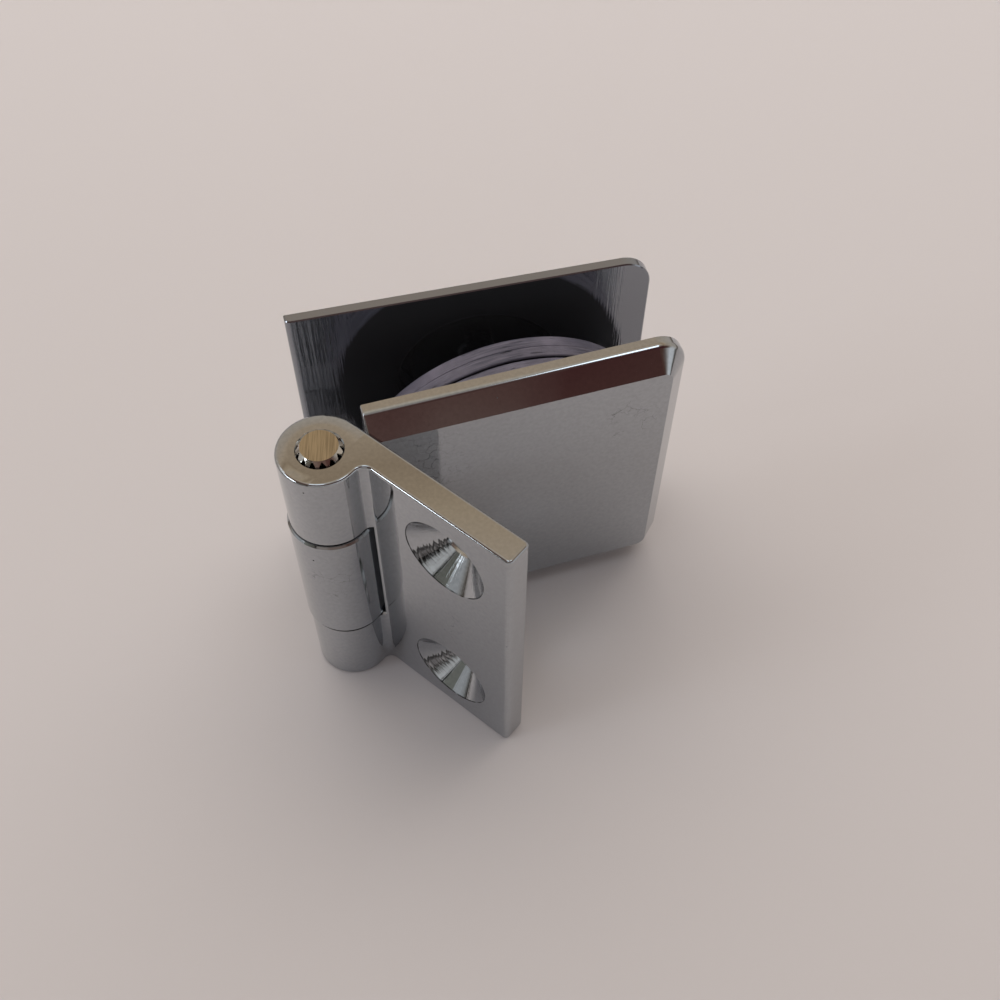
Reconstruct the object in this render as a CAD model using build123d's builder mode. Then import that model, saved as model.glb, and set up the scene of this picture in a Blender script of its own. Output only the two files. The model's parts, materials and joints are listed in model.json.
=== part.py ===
from build123d import *
from math import cos, radians, sin, tan
import os

# A small glass door hinge, as a cabinet maker fits it: a leaf is screwed to the side panel, and a
# clamp grips the glass between two rubber pads.  All sizes are in millimetres.
#
# Frame: the origin is the midpoint of the two wall screws, on the leaf's mounting face.  X runs
# along the clamp plates away from the barrel, Y runs from the show plate to the backing plate,
# and Z runs up along the hinge pin.

# --- how far the hinge stands open --------------------------------------------------------------
open_angle = 56.0             # between the wall leaf and the clamp plates

# --- barrel -------------------------------------------------------------------------------------
barrel_height = 46.0          # also the height of the wall leaf
end_knuckle_radius = 5.25     # upper and lower knuckle, cast with the wall leaf
middle_knuckle_radius = 5.5   # cast with the glass leaf
middle_knuckle_height = 20.6
knuckle_gap = 0.2             # running gap above and below the middle knuckle
knuckle_edge_round = 0.25     # where two knuckles meet

# --- pin ----------------------------------------------------------------------------------------
pin_radius = 2.75             # pressed into the end knuckles
pin_running_clearance = 0.05  # radial, in the middle knuckle only
pin_proud = 0.7               # how far the splined end stands out of the barrel
pin_foot_recess = 0.3         # the plain end stops inside the lower knuckle
pin_chamfer = 0.5
spline_count = 14
spline_groove_depth = 0.42    # V grooves with 90 degrees between their walls
spline_length = 8.0
spline_turn = -94.5           # degrees, direction of the first groove about the pin
bore_chamfer = 0.15

# --- wall leaf ----------------------------------------------------------------------------------
leaf_reach = 26.75            # from the pin's axis to the free end
leaf_thickness = 3.7
leaf_root_round = 1.2         # hollow corner between the barrel and the leaf
leaf_corner_round = 0.7       # upright corners of the free end
leaf_edge_round = 0.4         # polished top and bottom outline
relief_gap = 0.5              # between the middle knuckle and the leaf's cut-out

# --- wall screws --------------------------------------------------------------------------------
wall_screw_reach = 17.0       # from the pin's axis to the row of screws
wall_screw_pitch = 28.0
wall_screw_hole_radius = 2.75
wall_countersink_radius = 6.0
wall_countersink_angle = 90.0

# --- show plate of the glass leaf ----------------------------------------------------------------
show_face_depth = 1.7         # outer face, measured from the pin's axis
show_plate_thickness = 4.1
show_plate_start = 6.0        # free edge beside the barrel, measured from the pin's axis
show_plate_length = 41.5
plate_height = 44.0           # show plate and backing plate
plate_corner_radius = 4.0
show_bevel = 2.65             # 45 degree bevel on the top, bottom and far side
bevel_crest_round = 1.0       # between the bevel and the rim
show_edge_round = 0.2         # the straight side beside the barrel, and the inner rim
neck_root_round = 0.4         # between the middle knuckle and the neck
neck_overlap = 1.0            # how far the neck runs into the show plate

# --- boss and clamp screws -----------------------------------------------------------------------
boss_reach = 26.0             # from the pin's axis to the boss
boss_radius = 10.0
boss_height = 7.2
clamp_screw_pitch = 10.0
clamp_screw_radius = 2.0
clamp_thread_clearance = 0.05
clamp_screw_length = 13.5     # head included
clamp_head_radius = 3.6       # countersunk, 90 degrees
clamp_head_rim = 0.1          # straight edge above the cone
clamp_tip_chamfer = 0.4
clamp_socket_width = 2.5      # across the flats
clamp_socket_depth = 1.6
thread_floor = 1.0            # solid left between the blind holes and the show plate

# --- rubber pads ---------------------------------------------------------------------------------
pad_radius = 21.0
pad_hole_radius = 12.0
pad_thickness = 3.5
pad_play = 0.25               # loose gap before each pad
pad_hang_gap = 0.05           # between the top of the hole and the boss that it hangs on

# --- backing plate -------------------------------------------------------------------------------
glass_slot = 6.5              # free width at the screws, with the screws slack
backing_skew = 3.5            # degrees that the loose plate has turned about its screws
backing_thickness = 1.5
backing_inner_length = 26.0   # from the screws towards the barrel
backing_outer_length = 22.2   # from the screws to the rounded corners
backing_end_round = 0.8       # the inner upright corner beside the barrel
backing_edge_chamfer = 0.15
backing_hole_clearance = 0.25
backing_sink_clearance = 0.2

# --- picking edges -------------------------------------------------------------------------------
match_tolerance = 0.0001      # how closely an edge's place or radius must agree

# --- worked out from the values above --------------------------------------------------------------
half_height = barrel_height / 2
leaf_heading = (cos(radians(-open_angle)), sin(radians(-open_angle)), 0)
leaf_back_normal = (sin(radians(open_angle)), cos(radians(open_angle)), 0)
leaf_front_depth = end_knuckle_radius - leaf_thickness
pin_x = -wall_screw_reach * leaf_heading[0] - end_knuckle_radius * leaf_back_normal[0]
pin_y = -wall_screw_reach * leaf_heading[1] - end_knuckle_radius * leaf_back_normal[1]
relief_radius = middle_knuckle_radius + relief_gap
relief_height = middle_knuckle_height + 2 * knuckle_gap
pin_axis = Axis((pin_x, pin_y, 0), (0, 0, 1))
leaf_axis = Axis((pin_x, pin_y, 0), leaf_heading)

show_inner_depth = show_face_depth + show_plate_thickness
boss_end_depth = show_inner_depth + boss_height
front_pad_depth = show_inner_depth + pad_play
rear_pad_depth = front_pad_depth + pad_thickness + pad_play
pad_drop = pad_hole_radius - boss_radius - pad_hang_gap
backing_face_depth = rear_pad_depth + pad_thickness + glass_slot
backing_back_depth = backing_face_depth + backing_thickness / cos(radians(backing_skew))
head_lift = (clamp_head_radius + clamp_head_rim) * tan(radians(backing_skew))
clamp_head_depth = backing_back_depth + head_lift
clamp_tip_depth = clamp_head_depth - clamp_screw_length


def plan_plane(height, heading=(1, 0, 0)):
    """Level plane with its origin on the pin's axis and its local x along a heading."""
    return Plane(origin=(pin_x, pin_y, height), x_dir=heading, z_dir=(0, 0, 1))


def upright_plane(depth):
    """Plane parallel to the show face: local x is the distance from the pin, local y is height."""
    return Plane(origin=(pin_x, pin_y + depth, 0), x_dir=(1, 0, 0), z_dir=(0, -1, 0))


def save(piece, name):
    piece.label = name
    export_step(piece, f"parts/{name}.step")


os.makedirs("parts", exist_ok=True)

# --- wall leaf: flat leaf and both end knuckles in one casting --------------------------------------
with BuildPart() as wall_leaf:
    with BuildSketch(plan_plane(-half_height, leaf_heading)) as leaf_section:
        with Locations(Location((0, 0, 0), (0, 0, 180))):
            Circle(end_knuckle_radius)
        with Locations((0, leaf_front_depth)):
            Rectangle(leaf_reach, leaf_thickness, align=(Align.MIN, Align.MIN))
        on_front_face = leaf_section.vertices().filter_by_position(
            Axis.Y, leaf_front_depth - match_tolerance, leaf_front_depth + match_tolerance
        )
        fillet(on_front_face.sort_by(Axis.X)[0], leaf_root_round)
    extrude(amount=barrel_height)
    fillet(wall_leaf.edges().filter_by(Axis.Z).sort_by(leaf_axis)[-2:], leaf_corner_round)
    level_ends = wall_leaf.faces().filter_by(Axis.Z)
    fillet(level_ends.edges(), leaf_edge_round)

    # cut-out that the middle knuckle turns in
    with BuildSketch(plan_plane(-relief_height / 2)):
        Circle(relief_radius)
    extrude(amount=relief_height, mode=Mode.SUBTRACT)
    knuckle_rims = wall_leaf.edges().filter_by(GeomType.CIRCLE).filter_by(
        lambda rim: abs(rim.radius - end_knuckle_radius) < match_tolerance
        and abs(abs(rim.center().Z) - relief_height / 2) < match_tolerance
    )
    chamfer(knuckle_rims, knuckle_edge_round)

    # bore for the pin
    with BuildSketch(plan_plane(-half_height)):
        Circle(pin_radius)
    extrude(amount=barrel_height, mode=Mode.SUBTRACT)
    bore_mouths = wall_leaf.edges().filter_by(GeomType.CIRCLE).filter_by(
        lambda rim: abs(rim.radius - pin_radius) < match_tolerance
        and abs(abs(rim.center().Z) - half_height) < match_tolerance
    )
    chamfer(bore_mouths, bore_chamfer)

    # countersunk holes for the wall screws
    screw_face = Plane(
        origin=tuple(-leaf_thickness * part for part in leaf_back_normal),
        x_dir=(0, 0, 1),
        z_dir=tuple(-part for part in leaf_back_normal),
    )
    with Locations(screw_face):
        with GridLocations(wall_screw_pitch, 0, 2, 1):
            CounterSinkHole(
                radius=wall_screw_hole_radius,
                counter_sink_radius=wall_countersink_radius,
                counter_sink_angle=wall_countersink_angle,
            )
save(wall_leaf.part, "wall_leaf")

# --- pin, splined at its upper end --------------------------------------------------------------------
with BuildPart() as hinge_pin:
    with BuildSketch(plan_plane(-half_height + pin_foot_recess)):
        Circle(pin_radius)
    extrude(amount=barrel_height - pin_foot_recess + pin_proud)
    chamfer(hinge_pin.edges().filter_by(GeomType.CIRCLE), pin_chamfer)
    with BuildSketch(plan_plane(half_height - spline_length)):
        with PolarLocations(pin_radius, spline_count, start_angle=spline_turn):
            RegularPolygon(spline_groove_depth, 4)
    extrude(amount=spline_length + pin_proud, mode=Mode.SUBTRACT)
save(hinge_pin.part, "hinge_pin")

# --- glass leaf: middle knuckle, neck, bevelled show plate and boss in one casting ----------------------
with BuildPart() as glass_leaf:
    # show plate, bevelled on every side but the one beside the barrel
    with BuildSketch(upright_plane(show_face_depth)) as show_outline:
        with Locations((show_plate_start, 0)):
            Rectangle(show_plate_length, plate_height, align=(Align.MIN, Align.CENTER))
        fillet(show_outline.vertices().group_by(Axis.X)[-1], plate_corner_radius)
    extrude(amount=-show_plate_thickness)
    show_rim = glass_leaf.faces().sort_by(Axis.Y)[0].edges().sort_by(Axis.X)[1:]
    chamfer(show_rim, show_bevel)
    crest_y = pin_y + show_face_depth + show_bevel
    bevel_crest = glass_leaf.edges().filter_by_position(Axis.Y, crest_y - match_tolerance, crest_y + match_tolerance)
    fillet(bevel_crest, bevel_crest_round)
    fillet(glass_leaf.faces().sort_by(Axis.X)[0].edges(), show_edge_round)

    # middle knuckle and the neck that joins it to the plate
    with BuildSketch(plan_plane(-middle_knuckle_height / 2)) as neck_section:
        with Locations(Location((0, 0, 0), (0, 0, 180))):
            Circle(middle_knuckle_radius)
        with Locations((0, show_face_depth)):
            Rectangle(
                show_plate_start + neck_overlap,
                middle_knuckle_radius - show_face_depth,
                align=(Align.MIN, Align.MIN),
            )
        on_neck_face = neck_section.vertices().filter_by_position(
            Axis.Y, show_face_depth - match_tolerance, show_face_depth + match_tolerance
        )
        fillet(on_neck_face.sort_by(Axis.X)[0], neck_root_round)
    extrude(amount=middle_knuckle_height)
    middle_rims = glass_leaf.edges().filter_by(GeomType.CIRCLE).filter_by(
        lambda rim: abs(rim.radius - middle_knuckle_radius) < match_tolerance
    )
    chamfer(middle_rims, knuckle_edge_round)
    with BuildSketch(plan_plane(-middle_knuckle_height / 2)):
        Circle(pin_radius + pin_running_clearance)
    extrude(amount=middle_knuckle_height, mode=Mode.SUBTRACT)

    # boss for the clamp screws, with two blind threaded holes
    with BuildSketch(upright_plane(show_inner_depth)):
        with Locations((boss_reach, 0)):
            Circle(boss_radius)
    extrude(amount=-boss_height)
    with BuildSketch(upright_plane(boss_end_depth)):
        with Locations((boss_reach, 0)):
            with GridLocations(0, clamp_screw_pitch, 1, 2):
                Circle(clamp_screw_radius + clamp_thread_clearance)
    extrude(amount=boss_height - thread_floor, mode=Mode.SUBTRACT)
save(glass_leaf.part, "glass_leaf")

# --- two rubber pads, hanging on the boss ------------------------------------------------------------
for pad_name, pad_depth in (("front_pad", front_pad_depth), ("rear_pad", rear_pad_depth)):
    with BuildPart() as rubber_pad:
        with BuildSketch(upright_plane(pad_depth)):
            with Locations((boss_reach, -pad_drop)):
                Circle(pad_radius)
                Circle(pad_hole_radius, mode=Mode.SUBTRACT)
        extrude(amount=-pad_thickness)
    save(rubber_pad.part, pad_name)

# --- backing plate, loose and slightly turned about its screws -----------------------------------------
backing_heading = (cos(radians(backing_skew)), -sin(radians(backing_skew)), 0)
backing_outward = (sin(radians(backing_skew)), cos(radians(backing_skew)), 0)
backing_face = Plane(
    origin=(pin_x + boss_reach, pin_y + backing_face_depth, 0),
    x_dir=backing_heading,
    z_dir=tuple(-part for part in backing_outward),
)
backing_back = Plane(
    origin=backing_face.offset(-backing_thickness).origin,
    x_dir=(0, 0, 1),
    z_dir=backing_outward,
)
backing_axis = Axis(backing_face.origin, backing_heading)
with BuildPart() as backing_plate:
    with BuildSketch(backing_face) as backing_outline:
        with Locations((-backing_inner_length, 0)):
            Rectangle(
                backing_inner_length + backing_outer_length,
                plate_height,
                align=(Align.MIN, Align.CENTER),
            )
        fillet(backing_outline.vertices().group_by(Axis.X)[-1], plate_corner_radius)
    extrude(amount=-backing_thickness)
    barrel_end_corners = backing_plate.edges().filter_by(Axis.Z).sort_by(backing_axis)[:2]
    fillet(barrel_end_corners.sort_by(Axis.Y)[0], backing_end_round)
    backing_faces = backing_plate.faces().filter_by(backing_face)
    chamfer(backing_faces.edges(), backing_edge_chamfer)
    with Locations(backing_back):
        with GridLocations(clamp_screw_pitch, 0, 2, 1):
            CounterSinkHole(
                radius=clamp_screw_radius + backing_hole_clearance,
                counter_sink_radius=clamp_head_radius + backing_sink_clearance,
                counter_sink_angle=90,
            )
save(backing_plate.part, "backing_plate")

# --- clamp screws: countersunk, hexagon socket ----------------------------------------------------------
head_cone_height = clamp_head_radius - clamp_screw_radius
for screw_name, screw_height in (
    ("upper_clamp_screw", clamp_screw_pitch / 2),
    ("lower_clamp_screw", -clamp_screw_pitch / 2),
):
    screw_tip = (pin_x + boss_reach, pin_y + clamp_tip_depth, screw_height)
    screw_top = (pin_x + boss_reach, pin_y + clamp_head_depth, screw_height)
    with BuildPart() as clamp_screw:
        with BuildSketch(Plane(origin=screw_tip, x_dir=(1, 0, 0), z_dir=(0, 0, 1))):
            with BuildLine():
                Polyline(
                    (0, 0),
                    (clamp_screw_radius - clamp_tip_chamfer, 0),
                    (clamp_screw_radius, clamp_tip_chamfer),
                    (clamp_screw_radius, clamp_screw_length - clamp_head_rim - head_cone_height),
                    (clamp_head_radius, clamp_screw_length - clamp_head_rim),
                    (clamp_head_radius, clamp_screw_length),
                    (0, clamp_screw_length),
                    close=True,
                )
            make_face()
        revolve(axis=Axis(screw_tip, (0, 1, 0)))
        with BuildSketch(Plane(origin=screw_top, x_dir=(1, 0, 0), z_dir=(0, 1, 0))):
            RegularPolygon(clamp_socket_width / 2, 6, major_radius=False)
        extrude(amount=-clamp_socket_depth, mode=Mode.SUBTRACT)
    save(clamp_screw.part, screw_name)
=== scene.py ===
import json
from math import atan2, cos, pi, radians, sin

import bmesh
import bpy
from bpy.props import FloatProperty, FloatVectorProperty, IntProperty, PointerProperty
from mathutils import Matrix, Vector


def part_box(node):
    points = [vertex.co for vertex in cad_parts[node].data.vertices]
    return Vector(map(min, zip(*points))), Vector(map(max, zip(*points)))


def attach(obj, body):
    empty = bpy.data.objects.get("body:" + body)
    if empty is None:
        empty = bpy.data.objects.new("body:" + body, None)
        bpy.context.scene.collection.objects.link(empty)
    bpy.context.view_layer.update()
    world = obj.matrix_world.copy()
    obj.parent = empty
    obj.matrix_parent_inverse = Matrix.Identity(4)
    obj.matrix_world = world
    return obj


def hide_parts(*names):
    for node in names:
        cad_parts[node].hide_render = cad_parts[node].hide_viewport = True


bl_info = {
    "name": "Glass door hinge",
    "version": (1, 0, 0),
    "blender": (4, 5, 0),
    "location": "View3D > Sidebar > Hinge",
    "description": "Finishes the castings, pin, pads, plate and screws of a small glass door hinge",
    "category": "Object",
}

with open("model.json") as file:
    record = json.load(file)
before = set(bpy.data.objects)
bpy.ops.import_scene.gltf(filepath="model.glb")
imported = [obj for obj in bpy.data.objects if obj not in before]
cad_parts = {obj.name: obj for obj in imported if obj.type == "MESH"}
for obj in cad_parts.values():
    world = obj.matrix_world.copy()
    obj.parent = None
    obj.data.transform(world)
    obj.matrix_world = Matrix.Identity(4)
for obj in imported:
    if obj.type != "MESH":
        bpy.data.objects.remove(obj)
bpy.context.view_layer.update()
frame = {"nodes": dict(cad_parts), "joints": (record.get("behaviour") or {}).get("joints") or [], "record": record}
MM = 0.001
NODES = frame["nodes"]
MOUNTS = {mount["name"]: mount for mount in frame["record"]["mounts"]}
PIVOT = Vector(frame["joints"][0]["pos_m"])
PANEL_NORMAL = Vector(MOUNTS["wall_screws"]["axis"])
LEAF_TURN = atan2(PANEL_NORMAL.x, PANEL_NORMAL.y)
PIN_REACH = PIVOT.cross(PANEL_NORMAL).length    # along the leaf, from the screws to the pin
SCREW_PITCH = MOUNTS["wall_screws"]["dims"]["pcd_mm"] * MM
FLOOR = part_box("wall_leaf")[0].z


def linear(hex_colour):
    """Scene-linear red, green and blue of an sRGB hex colour."""
    channels = [int(hex_colour[i:i + 2], 16) / 255 for i in (1, 3, 5)]
    return tuple(c / 12.92 if c <= 0.04045 else ((c + 0.055) / 1.055) ** 2.4 for c in channels)


# --- sizes and colours that a user would change --------------------------------------------------

class HingeFinish(bpy.types.PropertyGroup):
    chrome: FloatVectorProperty(
        name="Chrome",
        description="Colour of the polished chrome plating",
        subtype="COLOR",
        default=linear("#b2b6ba"),
    )
    dull_chrome: FloatVectorProperty(
        name="Dull chrome",
        description="Plating of the backing plate",
        subtype="COLOR",
        default=linear("#93979e"),
    )
    chrome_roughness: FloatProperty(
        name="Chrome roughness",
        description="How much the polished plating blurs what it mirrors",
        default=0.05,
        min=0.0,
        max=1.0,
    )
    cast_skin: FloatVectorProperty(
        name="Cast skin",
        description="Unpolished zinc inside the wall leaf's cut-out",
        subtype="COLOR",
        default=linear("#c4c8ce"),
    )
    pin_end: FloatVectorProperty(
        name="Pin end",
        description="Bare metal of the pin's ground end",
        subtype="COLOR",
        default=linear("#b7ab94"),
    )
    pin_side: FloatVectorProperty(
        name="Pin side",
        description="Plated side and serrations of the pin",
        subtype="COLOR",
        default=linear("#cfcdc8"),
    )
    rubber: FloatVectorProperty(
        name="Rubber",
        description="Black rubber of the two pads' faces",
        subtype="COLOR",
        default=linear("#1f1f24"),
    )
    # partly painted light: the rims' lighter colour stands both for rubbed wear and for the sheen of the light
    # from above
    rim_wear_and_sheen: FloatVectorProperty(
        name="Rubber rim",
        description="Rubbed violet grey of the pads' rims",
        subtype="COLOR",
        default=linear("#4a4a59"),
    )
    rubber_bloom: FloatVectorProperty(
        name="Rubber bloom",
        description="Pale bloom that the rims have grown with age",
        subtype="COLOR",
        default=linear("#777484"),
    )
    zinc: FloatVectorProperty(
        name="Zinc",
        description="Zinc plating of the clamp screws' heads",
        subtype="COLOR",
        default=linear("#b9b8b4"),
    )
    # near black: pin pricks and crazing of the plating, painted shade in the barrel's running gaps and on the
    # screws' threads, and the black in the cones, partly a painted dark reflection
    flaw_and_shade_black: FloatVectorProperty(
        name="Flaws and shade",
        description="Dark oil left on threads and in the barrel's running gaps",
        subtype="COLOR",
        default=linear("#131315"),
    )
    table: FloatVectorProperty(
        name="Table",
        description="Plain pale board that the hinge stands on",
        subtype="COLOR",
        default=linear("#d1ced0"),
    )


class HingeSizes(bpy.types.PropertyGroup):
    chatter_lines: IntProperty(
        name="Chatter lines",
        description="Rays around each countersink, where the tool chattered",
        default=88,
        min=8,
    )
    countersink_radius: FloatProperty(
        name="Countersink radius",
        description="Radius of the mouths of the wall leaf's two cones",
        default=6.0 * MM,
        unit="LENGTH",
    )
    knuckle_seam: FloatProperty(
        name="Knuckle seam",
        description="Height of the running gaps above and below the middle of the barrel",
        default=10.4 * MM,
        unit="LENGTH",
    )
    barrel_radius: FloatProperty(
        name="Barrel radius",
        description="Radius of the middle of the barrel",
        default=5.5 * MM,
        unit="LENGTH",
    )
    relief_radius: FloatProperty(
        name="Relief radius",
        description="Radius of the wall leaf's cut-out round the middle of the barrel",
        default=6.0 * MM,
        unit="LENGTH",
    )
    pad_hole: FloatProperty(
        name="Pad hole",
        description="Radius of the hole in each rubber pad",
        default=12.0 * MM,
        unit="LENGTH",
    )
    pad_rim: FloatProperty(
        name="Pad rim",
        description="Radius of the moulded rims of the rubber pads",
        default=0.35 * MM,
        unit="LENGTH",
    )
    shank: FloatProperty(
        name="Screw shank",
        description="Outside radius of the clamp screws' thread",
        default=2.0 * MM,
        unit="LENGTH",
    )
    thread_pitch: FloatProperty(
        name="Thread pitch",
        description="Pitch of the clamp screws' thread",
        default=0.7 * MM,
        unit="LENGTH",
    )
    socket_width: FloatProperty(
        name="Socket width",
        description="Width across the flats of the clamp screws' hexagon socket",
        default=2.5 * MM,
        unit="LENGTH",
    )
    socket_depth: FloatProperty(
        name="Socket depth",
        description="Depth of the clamp screws' hexagon socket",
        default=1.6 * MM,
        unit="LENGTH",
    )


class HingeStage(bpy.types.PropertyGroup):
    camera_place: FloatVectorProperty(
        name="Camera place",
        description="Where the camera stands in the hinge's frame",
        subtype="TRANSLATION",
        default=(-19.44 * MM, -76.11 * MM, 135.26 * MM),
    )
    camera_heading: FloatProperty(
        name="Heading",
        description="Level direction of the view, turned from +Y towards +X",
        subtype="ANGLE",
        default=radians(17.38),
    )
    camera_drop: FloatProperty(
        name="Drop",
        description="How steeply the camera looks down",
        subtype="ANGLE",
        default=radians(55.20),
    )
    camera_roll: FloatProperty(
        name="Roll",
        description="How far the camera leans to its side",
        subtype="ANGLE",
        default=radians(0.39),
    )
    lens: FloatProperty(
        name="Lens",
        description="Focal length on a 36 mm wide sensor",
        default=44.15,
        unit="CAMERA",
    )
    board_width: FloatProperty(
        name="Board width",
        description="Width of the square board",
        default=3.0,
        unit="LENGTH",
    )
    lamp_place: FloatVectorProperty(
        name="Lamp place",
        description="Where the soft lamp hangs: to the right of the hinge, beyond it and above it",
        subtype="TRANSLATION",
        default=(-0.02, 0.38, 0.42),
    )
    lamp_width: FloatProperty(
        name="Lamp width",
        description="Longer side of the soft lamp",
        default=1.2,
        unit="LENGTH",
    )
    lamp_depth: FloatProperty(
        name="Lamp depth",
        description="Shorter side of the soft lamp",
        default=0.7,
        unit="LENGTH",
    )
    lamp_power: FloatProperty(
        name="Lamp power",
        description="Power of the soft lamp",
        default=3.02,
        unit="POWER",
    )
    lamp_colour: FloatVectorProperty(
        name="Lamp colour",
        description="Slightly warm white of the soft lamp",
        subtype="COLOR",
        default=(1.0, 0.95, 0.91),
    )


def add(tree, kind, inputs=None, **settings):
    """Adds a node with its settings; each input gets a value, a socket or another node's output."""
    node = tree.nodes.new(kind)
    for name, value in settings.items():
        setattr(node, name, value)
    for name, value in (inputs or {}).items():
        if isinstance(value, bpy.types.Node):
            value = next(output for output in value.outputs if output.enabled)
        if isinstance(value, bpy.types.NodeSocket):
            tree.links.new(value, node.inputs[name])
        else:
            node.inputs[name].default_value = value
    return node


def new_material(name):
    """A material, its node tree, its Principled surface and the point that it shades, in metres."""
    material = bpy.data.materials.new(name)
    material.use_nodes = True
    tree = material.node_tree
    point = add(tree, "ShaderNodeTexCoord").outputs["Object"]
    return material, tree, tree.nodes["Principled BSDF"], point


def within(tree, *limits):
    """A mask that is 1 where each value lies within its reach of its middle, and 0 elsewhere."""
    mask = 1.0
    for value, middle, reach in limits:
        near = add(tree, "ShaderNodeMath", {0: value, 1: middle, 2: reach}, operation="COMPARE")
        mask = add(tree, "ShaderNodeMath", {0: mask, 1: near}, operation="MULTIPLY")
    return mask.outputs[0]


def set_stops(ramp, stops):
    """Gives a colour ramp its stops, each a place from 0 to 1 and a linear colour."""
    elements = ramp.color_ramp.elements
    while len(elements) < len(stops):
        elements.new(1.0)
    for element, (place, colour) in zip(elements, stops):
        element.position = place
        element.color = (*colour, 1.0)


def dress(piece, material):
    """Gives a piece or a CAD node one material."""
    piece.data.materials.clear()
    piece.data.materials.append(material)


# --- materials -----------------------------------------------------------------------------------

def reach_from_pin(tree, point):
    """How far the shaded point lies from the pin's axis."""
    level = add(tree, "ShaderNodeVectorMath", {0: point, 1: tuple(PIVOT)}, operation="SUBTRACT")
    level = add(tree, "ShaderNodeVectorMath", {0: level, 1: (1.0, 1.0, 0.0)}, operation="MULTIPLY")
    return add(tree, "ShaderNodeVectorMath", {0: level}, operation="LENGTH").outputs["Value"]


def pin_pricks(tree, point):
    """Black pin pricks 0.2 mm across, in about a tenth of the cells, which are 2.4 mm wide."""
    cells = add(tree, "ShaderNodeTexVoronoi", {"Vector": point, "Scale": 1 / (2.4 * MM)})
    prick = add(tree, "ShaderNodeMapRange", {
        "Value": cells.outputs["Distance"],
        "From Min": 0.035, "From Max": 0.055, "To Min": 1.0, "To Max": 0.0,
    })
    chosen = add(tree, "ShaderNodeMath", {0: cells.outputs["Color"], 1: 0.80}, operation="GREATER_THAN")
    return add(tree, "ShaderNodeMath", {0: prick, 1: chosen}, operation="MULTIPLY")


def crazing(tree, point):
    """Cracks in the plating: walls of 1.8 mm cells, bent by a noise and some 0.05 mm wide."""
    bend = add(tree, "ShaderNodeTexNoise", {"Vector": point, "Scale": 1 / (1.2 * MM), "Detail": 4.0})
    bend = add(tree, "ShaderNodeVectorMath", {0: bend.outputs["Color"], 3: 1.9 * MM}, operation="SCALE")
    bent = add(tree, "ShaderNodeVectorMath", {0: point, 1: bend}, operation="ADD")
    walls = add(tree, "ShaderNodeTexVoronoi", {
        "Vector": bent, "Scale": 1 / (1.8 * MM),
    }, feature="DISTANCE_TO_EDGE")
    craze = add(tree, "ShaderNodeMapRange", {
        "Value": walls.outputs["Distance"],
        "From Min": 0.008, "From Max": 0.022, "To Min": 1.0, "To Max": 0.0,
    })
    # kept to four patches, by their places and reaches in mm: two on the show plate, one on the
    # middle knuckle and one between the countersinks; a noise frays them
    patches = None
    for x, y, z, reach in ((-2, 13, 13, 8), (26, 13, 12, 5), (-16, 6, 2, 4), (-3, -2, -1, 5)):
        place = (x * MM, y * MM, z * MM)
        away = add(tree, "ShaderNodeVectorMath", {0: point, 1: place}, operation="DISTANCE")
        patch = add(tree, "ShaderNodeMapRange", {
            "Value": away, "From Min": reach * MM, "From Max": reach * MM / 2,
        })
        patches = patch if patches is None else add(
            tree, "ShaderNodeMath", {0: patches, 1: patch}, operation="MAXIMUM",
        )
    fray = add(tree, "ShaderNodeTexNoise", {"Vector": point, "Scale": 1 / (3 * MM), "Detail": 3.0})
    fray = add(tree, "ShaderNodeMapRange", {
        "Value": fray, "From Min": 0.42, "From Max": 0.62, "To Max": 0.6,
    })
    patches = add(tree, "ShaderNodeMath", {0: patches, 1: fray}, operation="MULTIPLY")
    return add(tree, "ShaderNodeMath", {0: craze, 1: patches}, operation="MULTIPLY")


def barrel_gap_shade(tree, point, sizes):
    """Painted shade on both faces of the barrel's upper running gap, and up to the lower knuckle's rim."""
    height = add(tree, "ShaderNodeSeparateXYZ", {0: point}).outputs["Z"]
    # painted shade: near black in the gaps between the knuckles, where shade falls
    upper = within(tree, (height, sizes.knuckle_seam, 0.11 * MM))
    upper = add(tree, "ShaderNodeMath", {0: upper, 1: 0.6}, operation="MULTIPLY")
    lower = within(tree, (height, -sizes.knuckle_seam - 0.12 * MM, 0.25 * MM))
    flaw_and_shade_black = add(tree, "ShaderNodeMath", {0: upper, 1: lower}, operation="MAXIMUM")
    in_barrel = add(tree, "ShaderNodeMath", {
        0: reach_from_pin(tree, point), 1: sizes.barrel_radius,
    }, operation="LESS_THAN")
    return add(tree, "ShaderNodeMath", {0: flaw_and_shade_black, 1: in_barrel}, operation="MULTIPLY")


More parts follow.
